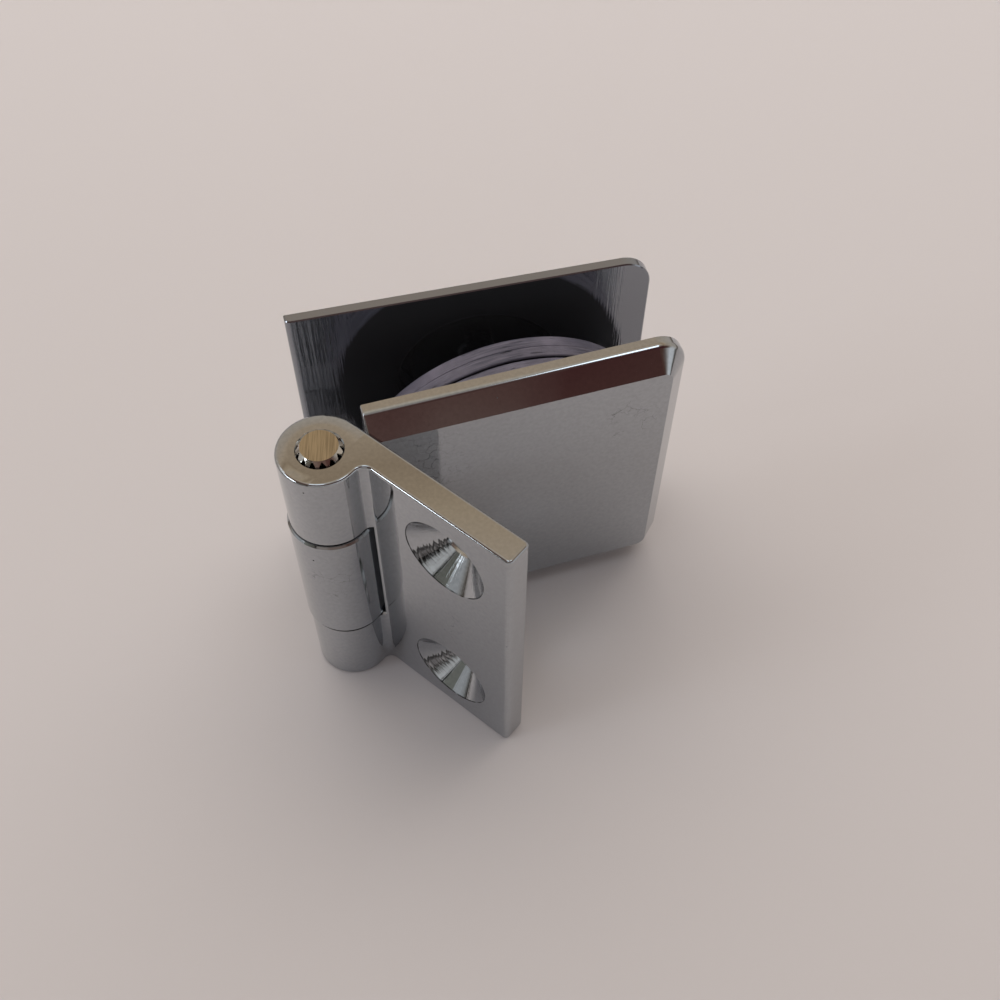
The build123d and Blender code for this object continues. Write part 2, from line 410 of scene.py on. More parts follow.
def polished_chrome(name, finish, sizes):
    """Decorative chrome over a polished zinc casting.  It is a near mirror, so its look is what it
    mirrors: the wheel leaves a slow ripple that bends the mirrored lines, handling leaves a haze,
    and the plating has a few black pin pricks and patches of hair-fine crazing.  Painted shade,
    near black, darkens the running gaps between the knuckles."""
    material, tree, surface, point = new_material(name)
    surface.inputs["Metallic"].default_value = 1.0

    # a grey mottle 0.5 mm across, up to a sixth deep
    mottle = add(tree, "ShaderNodeTexNoise", {"Vector": point, "Scale": 1 / (0.5 * MM), "Detail": 5.0})
    mottle = add(tree, "ShaderNodeMapRange", {"Value": mottle, "To Min": 0.84, "To Max": 1.14})
    plating = add(tree, "ShaderNodeVectorMath", {0: tuple(finish.chrome), 3: mottle}, operation="SCALE")

    prick = pin_pricks(tree, point)
    flaws_and_gap_shade = add(tree, "ShaderNodeMath", {0: prick, 1: crazing(tree, point)}, operation="MAXIMUM")
    # the pin pricks and crazing, and the painted shade of the barrel's running gaps
    flaws_and_gap_shade = add(tree, "ShaderNodeMath", {0: flaws_and_gap_shade, 1: barrel_gap_shade(tree, point, sizes)}, operation="MAXIMUM")
    colour = add(tree, "ShaderNodeMix", {
        0: flaws_and_gap_shade.outputs[0], 6: plating, 7: (*finish.flaw_and_shade_black, 1.0),
    }, data_type="RGBA")
    tree.links.new(colour.outputs[2], surface.inputs["Base Color"])

    # haze in blotches 8 mm across
    haze = add(tree, "ShaderNodeTexNoise", {"Vector": point, "Scale": 1 / (8 * MM), "Detail": 3.0})
    haze = add(tree, "ShaderNodeMapRange", {
        "Value": haze, "From Min": 0.35, "From Max": 0.7,
        "To Min": finish.chrome_roughness * 0.6, "To Max": finish.chrome_roughness * 1.8,
    })
    roughness = add(tree, "ShaderNodeMath", {0: haze, 1: prick}, operation="MAXIMUM")
    tree.links.new(roughness.outputs[0], surface.inputs["Roughness"])

    # ripple of the polishing wheel, 5 mm from crest to crest and some 0.01 mm deep
    ripple = add(tree, "ShaderNodeTexNoise", {"Vector": point, "Scale": 1 / (5 * MM), "Detail": 1.0})
    bump = add(tree, "ShaderNodeBump", {"Height": ripple, "Strength": 1.0, "Distance": 0.012 * MM})
    tree.links.new(bump.outputs[0], surface.inputs["Normal"])
    return material, bump


def cone_marks(tree, point, part, sizes):
    """The wall leaf's two cones: the height of the marks that a chattering tool left in them, and a
    mask of black, a hair line and a painted dark reflection.  part is the point turned so that x
    runs along the leaf and y through it, 0 on its back."""
    # polar coordinates round either hole
    upper_or_lower = add(tree, "ShaderNodeMath", {0: part.outputs["Z"]}, operation="SIGN")
    height = add(tree, "ShaderNodeMath", {
        0: upper_or_lower, 1: -SCREW_PITCH / 2, 2: part.outputs["Z"],
    }, operation="MULTIPLY_ADD")
    across = add(tree, "ShaderNodeCombineXYZ", {"X": part.outputs["X"], "Y": height})
    radius = add(tree, "ShaderNodeVectorMath", {0: across}, operation="LENGTH").outputs["Value"]
    angle = add(tree, "ShaderNodeMath", {0: height, 1: part.outputs["X"]}, operation="ARCTAN2")
    mouth = sizes.countersink_radius
    inside = add(tree, "ShaderNodeMapRange", {
        "Value": radius, "From Min": mouth - 0.1 * MM, "From Max": mouth - 0.01 * MM,
        "To Min": 1.0, "To Max": 0.0,
    })
    # nothing of it on the leaf's back
    front = add(tree, "ShaderNodeMath", {0: part.outputs["Y"], 1: -0.2 * MM}, operation="LESS_THAN")
    inside = add(tree, "ShaderNodeMath", {0: inside, 1: front}, operation="MULTIPLY")

    # rays 0.4 mm wide at the rim whose depth wanders round the cone
    wander = add(tree, "ShaderNodeTexNoise", {
        "W": angle, "Scale": 9.0, "Detail": 3.0,
    }, noise_dimensions="1D")
    wander = add(tree, "ShaderNodeMath", {0: wander, 1: 22.0}, operation="MULTIPLY")
    turns = add(tree, "ShaderNodeMath", {
        0: angle, 1: float(sizes.chatter_lines), 2: wander,
    }, operation="MULTIPLY_ADD")
    rays = add(tree, "ShaderNodeMath", {0: turns}, operation="SINE")
    depth = add(tree, "ShaderNodeTexNoise", {"Vector": point, "Scale": 1 / (1.2 * MM), "Detail": 3.0})
    rays = add(tree, "ShaderNodeMath", {0: rays, 1: depth}, operation="MULTIPLY")
    rays = add(tree, "ShaderNodeMath", {0: rays, 1: 0.15}, operation="MULTIPLY")

    # turning grooves 0.25 mm apart, deepest in the sector that the tool bit first
    grooves = add(tree, "ShaderNodeTexNoise", {
        "W": radius, "Scale": 1 / (0.25 * MM), "Detail": 2.0,
    }, noise_dimensions="1D")
    first_bite = radians(-132)
    bitten = add(tree, "ShaderNodeMath", {0: angle, 1: first_bite}, operation="SUBTRACT")
    bitten = add(tree, "ShaderNodeMath", {0: bitten}, operation="ABSOLUTE")
    bitten = add(tree, "ShaderNodeMapRange", {
        "Value": bitten, "From Min": radians(14), "From Max": radians(24), "To Min": 1.6, "To Max": 0.2,
    })
    marks = add(tree, "ShaderNodeMath", {0: grooves, 1: bitten, 2: rays}, operation="MULTIPLY_ADD")
    marks = add(tree, "ShaderNodeMath", {0: marks, 1: inside}, operation="MULTIPLY")

    # a black hair line 0.09 mm wide inside the cone's mouth, thinner and thicker
    black = within(tree, (radius, mouth - 0.05 * MM, 0.045 * MM))
    broken_up = add(tree, "ShaderNodeMapRange", {"Value": depth, "From Min": 0.3, "From Max": 0.5})
    black = add(tree, "ShaderNodeMath", {0: black, 1: broken_up}, operation="MULTIPLY")
    black = add(tree, "ShaderNodeMath", {0: black, 1: front}, operation="MULTIPLY")

    # and a painted dark reflection at a fixed angle in each cone, shifted from groove to groove:
    # nearly solid over 6 degrees, and over 20 degrees in every other groove
    shift = add(tree, "ShaderNodeMapRange", {
        "Value": grooves, "From Min": 0.3, "From Max": 0.7, "To Min": radians(-5), "To Max": radians(5),
    })
    ragged = add(tree, "ShaderNodeMath", {0: angle, 1: shift}, operation="ADD")
    comb = add(tree, "ShaderNodeMapRange", {
        "Value": grooves, "From Min": 0.44, "From Max": 0.54, "To Min": 0.25, "To Max": 0.7,
    })
    # painted reflection: the dark band that the cones mirror is painted black here
    for middle, half_width, strength in ((-148, 3, 0.85), (-139, 10, comb)):
        start = within(tree, (ragged, radians(middle), radians(half_width)))
        start = add(tree, "ShaderNodeMath", {0: start, 1: inside}, operation="MULTIPLY")
        start = add(tree, "ShaderNodeMath", {0: start, 1: strength}, operation="MULTIPLY")
        black = add(tree, "ShaderNodeMath", {0: black, 1: start}, operation="MAXIMUM")
    return marks, black.outputs[0]


def countersunk_chrome(finish, sizes):
    """The same plating on the wall leaf.  Its cones were cut with a chattering tool before they
    were plated, which breaks the mirror up into rays, and the wheel rolled over the barrel's rim.
    The cut-out round the middle of the barrel, which no wheel reaches, has a satin cast skin."""
    material, ripple = polished_chrome("chrome_on_countersunk_leaf", finish, sizes)
    tree = material.node_tree
    surface = tree.nodes["Principled BSDF"]
    plating = surface.inputs["Base Color"].links[0].from_socket
    polish = surface.inputs["Roughness"].links[0].from_socket
    point = add(tree, "ShaderNodeTexCoord").outputs["Object"]
    turned = add(tree, "ShaderNodeMapping", {"Vector": point, "Rotation": (0.0, 0.0, LEAF_TURN)})
    part = add(tree, "ShaderNodeSeparateXYZ", {0: turned})
    reach = reach_from_pin(tree, point)

    # cast skin, where a point lies on the cut-out's own radius between the two running gaps
    cast = within(tree, (reach, sizes.relief_radius, 0.03 * MM))
    between = add(tree, "ShaderNodeMath", {0: part.outputs["Z"]}, operation="ABSOLUTE")
    between = add(tree, "ShaderNodeMath", {0: between, 1: sizes.knuckle_seam}, operation="LESS_THAN")
    cast = add(tree, "ShaderNodeMath", {0: cast, 1: between}, operation="MULTIPLY")
    rough = add(tree, "ShaderNodeMath", {0: cast, 1: 0.5, 2: polish}, operation="MULTIPLY_ADD")
    metal = add(tree, "ShaderNodeMapRange", {"Value": cast, "To Min": 1.0, "To Max": 0.1})
    tree.links.new(rough.outputs[0], surface.inputs["Roughness"])
    tree.links.new(metal.outputs[0], surface.inputs["Metallic"])
    colour = add(tree, "ShaderNodeMix", {
        0: cast.outputs[0], 6: plating, 7: (*finish.cast_skin, 1.0),
    }, data_type="RGBA")

    marks, black = cone_marks(tree, point, part, sizes)
    chatter = add(tree, "ShaderNodeBump", {
        "Height": marks, "Strength": 1.0, "Distance": 0.014 * MM, "Normal": ripple,
    })
    # the cones' black, a hair line and a painted dark reflection, goes into the colour
    colour = add(tree, "ShaderNodeMix", {
        0: black, 6: colour.outputs[2], 7: (*finish.flaw_and_shade_black, 1.0),
    }, data_type="RGBA")
    tree.links.new(colour.outputs[2], surface.inputs["Base Color"])

    # the barrel's top falls away over its last 1.4 mm, from the pin outwards
    fall = add(tree, "ShaderNodeMapRange", {"Value": reach, "From Min": 3.6 * MM, "From Max": 5.0 * MM})
    fall = add(tree, "ShaderNodeMath", {0: fall, 1: 2.0}, operation="POWER")
    outwards = add(tree, "ShaderNodeMapRange", {
        "Value": part.outputs["X"], "From Min": 2.5 * MM - PIN_REACH, "From Max": -PIN_REACH,
    })
    fall = add(tree, "ShaderNodeMath", {0: fall, 1: outwards}, operation="MULTIPLY")
    rim = add(tree, "ShaderNodeBump", {
        "Height": fall, "Strength": 1.0, "Distance": 0.16 * MM, "Normal": chatter,
    }, invert=True)
    tree.links.new(rim.outputs[0], surface.inputs["Normal"])
    return material


def chrome_on_plate(finish):
    """Chrome over belt-ground sheet steel: a mirror with upright lines where the belt met both ends.
    It is duller and darker than the castings, so it mirrors everything greyer."""
    material, tree, surface, point = new_material("chrome_on_belt_ground_plate")
    surface.inputs["Metallic"].default_value = 0.9
    surface.inputs["Base Color"].default_value = (*finish.dull_chrome, 1.0)
    surface.inputs["Roughness"].default_value = finish.chrome_roughness
    low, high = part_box("backing_plate")
    place = add(tree, "ShaderNodeSeparateXYZ", {0: point}).outputs["X"]
    middle = 0.03
    near = add(tree, "ShaderNodeMapRange", {
        "Value": place, "From Min": low.x + 3 * MM, "From Max": low.x + 10 * MM,
        "To Min": 1.0, "To Max": middle,
    }, interpolation_type="SMOOTHSTEP")
    far = add(tree, "ShaderNodeMapRange", {
        "Value": place, "From Min": high.x - 11 * MM, "From Max": high.x - 6 * MM,
        "To Min": middle, "To Max": 0.5,
    }, interpolation_type="SMOOTHSTEP")
    ends = add(tree, "ShaderNodeMath", {0: near, 1: far}, operation="MAXIMUM")
    # lines 0.35 mm apart and some 12 mm long
    stretched = add(tree, "ShaderNodeMapping", {
        "Vector": point, "Scale": (1 / (0.35 * MM), 1 / (2 * MM), 1 / (12 * MM)),
    })
    lines = add(tree, "ShaderNodeTexNoise", {"Vector": stretched, "Scale": 1.0, "Detail": 4.0})
    height = add(tree, "ShaderNodeMath", {0: lines, 1: ends}, operation="MULTIPLY")
    bump = add(tree, "ShaderNodeBump", {"Height": height, "Strength": 1.0, "Distance": 0.05 * MM})
    tree.links.new(bump.outputs[0], surface.inputs["Normal"])
    return material


def ground_pin(finish):
    """Nickel-plated steel, cut and ground across its end: bright serrations round a warm bare disc
    with straight grinding lines."""
    material, tree, surface, point = new_material("ground_nickel_pin")
    surface.inputs["Metallic"].default_value = 1.0
    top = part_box("hinge_pin")[1].z
    height = add(tree, "ShaderNodeSeparateXYZ", {0: point}).outputs["Z"]
    on_end = add(tree, "ShaderNodeMath", {0: height, 1: top - 0.02 * MM}, operation="GREATER_THAN")
    roughness = add(tree, "ShaderNodeMapRange", {"Value": on_end, "To Min": 0.12, "To Max": 0.28})
    tree.links.new(roughness.outputs[0], surface.inputs["Roughness"])
    # grinding lines 0.15 mm apart, light and dark
    stretched = add(tree, "ShaderNodeMapping", {
        "Vector": point, "Rotation": (0.0, 0.0, radians(-15)), "Scale": (0.15 * MM, 5 * MM, 1 * MM),
    }, vector_type="TEXTURE")
    lines = add(tree, "ShaderNodeTexNoise", {"Vector": stretched, "Scale": 1.0, "Detail": 3.0})
    dark = add(tree, "ShaderNodeMapRange", {
        "Value": lines, "From Min": 0.35, "From Max": 0.60, "To Min": 0.72, "To Max": 1.1,
    })
    end_colour = add(tree, "ShaderNodeVectorMath", {0: tuple(finish.pin_end), 3: dark}, operation="SCALE")
    colour = add(tree, "ShaderNodeMix", {
        0: on_end.outputs[0], 6: (*finish.pin_side, 1.0), 7: end_colour,
    }, data_type="RGBA")
    tree.links.new(colour.outputs[2], surface.inputs["Base Color"])
    height = add(tree, "ShaderNodeMath", {0: lines, 1: on_end}, operation="MULTIPLY")
    bump = add(tree, "ShaderNodeBump", {"Height": height, "Strength": 1.0, "Distance": 0.03 * MM})
    tree.links.new(bump.outputs[0], surface.inputs["Normal"])
    return material


def aged_rubber(finish, centre, outer):
    """Moulded black rubber gone hard: satin, with the rims a lighter violet grey, partly rubbed wear
    and partly a painted sheen of the light from above, and a pale bloom and fine splits that run
    round them."""
    material, tree, surface, point = new_material("aged_moulded_rubber")
    surface.inputs["IOR"].default_value = 1.52
    surface.inputs["Roughness"].default_value = 0.38

    # stretched round the pad, so that the splits follow the rim: 7 mm long and 0.45 mm apart
    from_centre = add(tree, "ShaderNodeVectorMath", {0: point, 1: tuple(centre)}, operation="SUBTRACT")
    part = add(tree, "ShaderNodeSeparateXYZ", {0: from_centre})
    angle = add(tree, "ShaderNodeMath", {0: part.outputs["Z"], 1: part.outputs["X"]}, operation="ARCTAN2")
    rolled = add(tree, "ShaderNodeCombineXYZ", {"X": angle, "Y": part.outputs["Y"]})
    stretched = add(tree, "ShaderNodeMapping", {"Vector": rolled, "Scale": (3.0, 1 / (0.45 * MM), 1.0)})
    fibre = add(tree, "ShaderNodeTexNoise", {
        "Vector": stretched, "Scale": 1.0, "Detail": 5.0, "Roughness": 0.6,
    })
    split = add(tree, "ShaderNodeMapRange", {
        "Value": fibre, "From Min": 0.30, "From Max": 0.37, "To Min": 0.0, "To Max": 1.0,
    })

    bloom = add(tree, "ShaderNodeTexNoise", {"Vector": point, "Scale": 1 / (5 * MM), "Detail": 5.0})
    bloom = add(tree, "ShaderNodeMapRange", {"Value": bloom, "From Min": 0.4, "From Max": 0.72})
    streaks = add(tree, "ShaderNodeMapRange", {"Value": fibre, "From Min": 0.45, "From Max": 0.75})
    pale = add(tree, "ShaderNodeMath", {0: bloom, 1: streaks}, operation="MAXIMUM")
    # the rims' violet grey, rubbed wear and a painted sheen of the light from above, with pale bloom over it
    rim_wear_and_sheen_colour = add(tree, "ShaderNodeMix", {
        0: pale.outputs[0], 6: (*finish.rim_wear_and_sheen, 1.0), 7: (*finish.rubber_bloom, 1.0),
    }, data_type="RGBA")
    flat = add(tree, "ShaderNodeVectorMath", {0: from_centre, 1: (1.0, 0.0, 1.0)}, operation="MULTIPLY")
    reach = add(tree, "ShaderNodeVectorMath", {0: flat}, operation="LENGTH").outputs["Value"]
    on_rim = add(tree, "ShaderNodeMapRange", {
        "Value": reach, "From Min": outer - 0.4 * MM, "From Max": outer - 0.1 * MM,
    })
    colour = add(tree, "ShaderNodeMix", {
        0: on_rim.outputs[0], 6: (*finish.rubber, 1.0), 7: rim_wear_and_sheen_colour.outputs[2],
    }, data_type="RGBA")
    cut = add(tree, "ShaderNodeMix", {
        0: split.outputs[0], 6: (*linear("#121115"), 1.0), 7: colour.outputs[2],
    }, data_type="RGBA")
    tree.links.new(cut.outputs[2], surface.inputs["Base Color"])

    grain = add(tree, "ShaderNodeTexNoise", {"Vector": point, "Scale": 1 / (0.3 * MM), "Detail": 2.0})
    fine = add(tree, "ShaderNodeBump", {"Height": grain, "Strength": 1.0, "Distance": 0.02 * MM})
    bump = add(tree, "ShaderNodeBump", {
        "Height": split, "Strength": 1.0, "Distance": 0.12 * MM, "Normal": fine,
    })
    ridges = add(tree, "ShaderNodeBump", {
        "Height": fibre, "Strength": 1.0, "Distance": 0.10 * MM, "Normal": bump,
    })
    tree.links.new(ridges.outputs[0], surface.inputs["Normal"])
    return material


def zinc_plated_steel(finish):
    """Bright zinc on cold-headed steel: satin, with a blotchy sheen from the tumbling barrel on the
    heads, and a thread darkened to near black with painted shade."""
    material, tree, surface, point = new_material("zinc_plated_steel")
    surface.inputs["Metallic"].default_value = 1.0
    depth = add(tree, "ShaderNodeSeparateXYZ", {0: point}).outputs["Y"]
    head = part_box("upper_clamp_screw")[1].y
    # painted shade: the thread, which sits inside the clamp, is near black from here down
    thread_shade = add(tree, "ShaderNodeMapRange", {
        "Value": depth, "From Min": head - 1.9 * MM, "From Max": head - 1.5 * MM,
        "To Min": 1.0, "To Max": 0.0,
    })
    colour = add(tree, "ShaderNodeMix", {
        0: thread_shade.outputs[0], 6: (*finish.zinc, 1.0), 7: (*finish.flaw_and_shade_black, 1.0),
    }, data_type="RGBA")
    tree.links.new(colour.outputs[2], surface.inputs["Base Color"])
    blotch = add(tree, "ShaderNodeTexNoise", {"Vector": point, "Scale": 1 / (0.8 * MM), "Detail": 4.0})
    roughness = add(tree, "ShaderNodeMapRange", {"Value": blotch, "To Min": 0.16, "To Max": 0.42})
    tree.links.new(roughness.outputs[0], surface.inputs["Roughness"])
    dents = add(tree, "ShaderNodeBump", {"Height": blotch, "Strength": 1.0, "Distance": 0.01 * MM})
    tree.links.new(dents.outputs[0], surface.inputs["Normal"])
    return material


def matt_board(finish):
    """Matt painted board: plain and pale, with a barely visible tooth."""
    material, tree, surface, point = new_material("matt_painted_board")
    surface.inputs["Base Color"].default_value = (*finish.table, 1.0)
    surface.inputs["Roughness"].default_value = 0.8
    tooth = add(tree, "ShaderNodeTexNoise", {"Vector": point, "Scale": 1 / (0.6 * MM), "Detail": 3.0})
    bump = add(tree, "ShaderNodeBump", {"Height": tooth, "Strength": 0.3, "Distance": 0.02 * MM})
    tree.links.new(bump.outputs[0], surface.inputs["Normal"])
    return material


# --- pieces --------------------------------------------------------------------------------------

def skin(name, rings, closed=False):
    """A smooth object over rings of equally many points, open to a tube or closed to a torus."""
    shape = bmesh.new()
    loops = [[shape.verts.new(point) for point in ring] for ring in rings]
    followers = loops[1:] + loops[:1] if closed else loops[1:]
    for lower, upper in zip(loops, followers):
        for i in range(len(lower)):
            shape.faces.new((lower[i - 1], lower[i], upper[i], upper[i - 1]))
    if not closed:
        shape.faces.new(loops[0])
        shape.faces.new(loops[-1])
    bmesh.ops.recalc_face_normals(shape, faces=shape.faces)
    for face in shape.faces:
        face.smooth = True
    mesh = bpy.data.meshes.new(name)
    shape.to_mesh(mesh)
    shape.free()
    mesh.set_sharp_from_angle(angle=radians(32))
    piece = bpy.data.objects.new(name, mesh)
    bpy.context.scene.collection.objects.link(piece)
    return piece


def ring(centre, depth, radius_at, count):
    """Points round an axis along Y, at a depth; the radius may change with the angle."""
    angles = [2 * pi * i / count for i in range(count)]
    return [
        Vector((centre.x + radius_at(a) * cos(a), depth, centre.z + radius_at(a) * sin(a))) for a in angles
    ]


def moulded_pad(name, centre, low, high, sizes):
    """A flat ring with rounded rims and the fine line where the halves of its mould met."""
    outer = (high.x - low.x) / 2
    points_round = 168
    round_off = sizes.pad_rim
    # how far the mould line stands out
    line = 0.06 * MM
    section = []
    for corner_radius, corner_depth, start in (
        (outer - line - round_off, high.y - round_off, 90),
        (outer - line - round_off, low.y + round_off, 0),
        (sizes.pad_hole + round_off, low.y + round_off, -90),
        (sizes.pad_hole + round_off, high.y - round_off, -180),
    ):
        for step in range(5):
            turn = radians(start - 22.5 * step)
            section.append((corner_radius + round_off * cos(turn), corner_depth + round_off * sin(turn)))
        if start == 90:
            for offset, rise in ((0.12, 0.0), (0.04, line), (-0.04, line), (-0.12, 0.0)):
                section.append((outer - line + rise, centre.y + offset * MM))
    rings = [ring(centre, depth, lambda a, r=radius: r, points_round) for radius, depth in section]
    return skin(name, rings, closed=True)


def threaded_screw(name, node, sizes):
    """A countersunk screw with a rolled thread and a hexagon socket."""
    low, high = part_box(node)
    centre = (low + high) / 2
    head = (high.x - low.x) / 2
    # the rim round the head, the chamfer of the tip and the softened edges
    rim = 0.1 * MM
    tip = 0.35 * MM
    soft = 0.08 * MM
    cone_start = high.y - rim - (head - sizes.shank)
    thread_depth = 0.6 * sizes.thread_pitch
    points_round = 48
    rings_per_pitch = 8

    def thread(depth):
        def radius_at(angle):
            turn = ((depth - low.y) / sizes.thread_pitch - angle / (2 * pi)) % 1.0
            fade = min(1.0, (depth - low.y) / sizes.thread_pitch, (cone_start - depth) / sizes.thread_pitch)
            crest = sizes.shank - thread_depth * abs(2 * turn - 1) * max(fade, 0.0)
            return min(crest, sizes.shank - tip + (depth - low.y))
        return radius_at

    def hexagon(angle):
        return sizes.socket_width / 2 / cos((angle + pi / 6) % (pi / 3) - pi / 6)

    steps = round((cone_start - low.y) / sizes.thread_pitch * rings_per_pitch)
    depths = [low.y + (cone_start - low.y) * i / steps for i in range(steps + 1)]
    rings = [ring(centre, depth, thread(depth), points_round) for depth in depths]
    for radius, depth in ((head - soft, high.y - rim - soft), (head, high.y - rim), (head - soft, high.y)):
        rings.append(ring(centre, depth, lambda a, r=radius: r, points_round))
    rings.append(ring(centre, high.y, lambda a: hexagon(a) + soft, points_round))
    rings.append(ring(centre, high.y - soft, hexagon, points_round))
    rings.append(ring(centre, high.y - sizes.socket_depth, hexagon, points_round))
    return skin(name, rings)


class HINGE_OT_castings(bpy.types.Operator):
    """Chrome plating on the wall leaf and the glass leaf"""
    bl_idname = "hinge.castings"
    bl_label = "Chrome castings"

    def execute(self, context):
        finish, sizes = context.scene.hinge_finish, context.scene.hinge_sizes
        dress(NODES["wall_leaf"], countersunk_chrome(finish, sizes))
        plain_chrome, _ = polished_chrome("chrome_on_glass_leaf", finish, sizes)
        dress(NODES["glass_leaf"], plain_chrome)
        return {"FINISHED"}


class HINGE_OT_pin(bpy.types.Operator):
    """Ground end and bright serrations of the hinge pin"""
    bl_idname = "hinge.pin"
    bl_label = "Hinge pin"

    def execute(self, context):
        dress(NODES["hinge_pin"], ground_pin(context.scene.hinge_finish))
        return {"FINISHED"}


class HINGE_OT_backing_plate(bpy.types.Operator):
    """Chrome with belt lines on the backing plate"""
    bl_idname = "hinge.backing_plate"
    bl_label = "Backing plate"

    def execute(self, context):
        dress(NODES["backing_plate"], chrome_on_plate(context.scene.hinge_finish))
        return {"FINISHED"}


class HINGE_OT_pads(bpy.types.Operator):
    """Two moulded rubber pads that hang on the boss"""
    bl_idname = "hinge.pads"
    bl_label = "Rubber pads"

    def execute(self, context):
        scene = context.scene
        for node in ("front_pad", "rear_pad"):
            low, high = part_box(node)
            centre = (low + high) / 2
            pad = moulded_pad("moulded_" + node, centre, low, high, scene.hinge_sizes)
            dress(pad, aged_rubber(scene.hinge_finish, centre, high.x - centre.x))
            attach(pad, "glass_side")
            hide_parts(node)
        return {"FINISHED"}


class HINGE_OT_clamp_screws(bpy.types.Operator):
    """Two threaded clamp screws with hexagon sockets"""
    bl_idname = "hinge.clamp_screws"
    bl_label = "Clamp screws"

    def execute(self, context):
        scene = context.scene
        zinc = zinc_plated_steel(scene.hinge_finish)
        for node in ("upper_clamp_screw", "lower_clamp_screw"):
            screw = threaded_screw("threaded_" + node, node, scene.hinge_sizes)
            dress(screw, zinc)
            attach(screw, "glass_side")
            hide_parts(node)
        return {"FINISHED"}


# --- stage ---------------------------------------------------------------------------------------

# the ceiling glows, cooler and brighter than any paint, so this is its linear light
CEILING = (1.75, 1.95, 2.15)


def wall(tree, edge, stops):
    """One side of the room from the horizon up: each stop has its degrees and its paint or light."""
    height = add(tree, "ShaderNodeMath", {0: edge, 1: pi / 2}, operation="DIVIDE")
    side = add(tree, "ShaderNodeValToRGB", {"Fac": height})
    set_stops(side, [
        (degrees_up / 90, linear(colour) if isinstance(colour, str) else colour)
        for degrees_up, colour in stops
    ])
    return side.outputs["Color"]


def left_wall(tree, part, rise, wavering):
    """The near side on the left: a dark table edge and a pale wall with a door and a window."""
    side = wall(tree, wavering, (
        (0, "#24221f"), (4, "#3a3733"), (7, "#b0ada9"), (14, "#d6d5d4"), (24, "#c6c4c0"),
        (32, "#8a7c74"), (38, "#6b514a"), (52, "#5c423d"), (62, "#735e5a"), (69, "#b5aea8"),
        (75, CEILING), (84, CEILING), (88, "#d3c7b6"),
    ))
    # a grey-green door with a dark frame, by how far a direction points to the left
    leftwards = add(tree, "ShaderNodeMath", {0: part.outputs["X"], 1: -1.0}, operation="MULTIPLY")
    door = add(tree, "ShaderNodeValToRGB", {"Fac": leftwards})
    door.color_ramp.interpolation = "CONSTANT"
    set_stops(door, [(place, linear(colour)) for place, colour in (
        (0.0, "#ffffff"), (0.49, "#121110"), (0.535, "#a5a69f"), (0.81, "#dcdee0"),
    )])
    lintel = radians(34)
    below_lintel = add(tree, "ShaderNodeMath", {0: rise, 1: lintel}, operation="LESS_THAN")
    side = add(tree, "ShaderNodeMix", {
        0: below_lintel.outputs[0], 6: side, 7: door.outputs["Color"],
    }, data_type="RGBA", blend_type="MULTIPLY")
    # a narrow bright window beyond the door, from 22.6 to 33 degrees up
    window = within(tree, (part.outputs["X"], -0.835, 0.04), (rise, radians(27.8), radians(5.2)))
    side = add(tree, "ShaderNodeMix", {
        0: window, 6: side.outputs[2], 7: (8.0, 8.4, 8.8, 1.0),
    }, data_type="RGBA")
    return side.outputs[2]


def right_wall(tree, wavering):
    """The near side on the right: the same pale wall, then a wine-red curtain."""
    return wall(tree, wavering, (
        (0, "#5b5855"), (3, "#8c8a88"), (7, "#e6e7e8"), (20, "#e6e7e8"), (26, "#a8a29e"),
        (29, "#7d726d"), (33, "#62483f"), (38, "#52302f"), (50, "#4a2a2c"), (60, "#6b5450"),
        (71, "#a39c95"), (77, CEILING), (84, CEILING), (88, "#d3c7b6"),
    ))


def wall_ahead(tree, rise):
    """Ahead, beyond the hinge: a beige wall with a darker foot and a shelf at 53 degrees."""
    return wall(tree, rise, (
        (0, "#7d746b"), (4, "#9a9086"), (9, "#c4bab0"), (30, "#c6baab"), (45, "#c4b3a0"),
        (51, "#c6b096"), (53.5, "#ab957b"), (55.5, "#c3ad91"), (58, "#c7b39b"), (73, "#d3c7b6"),
    ))


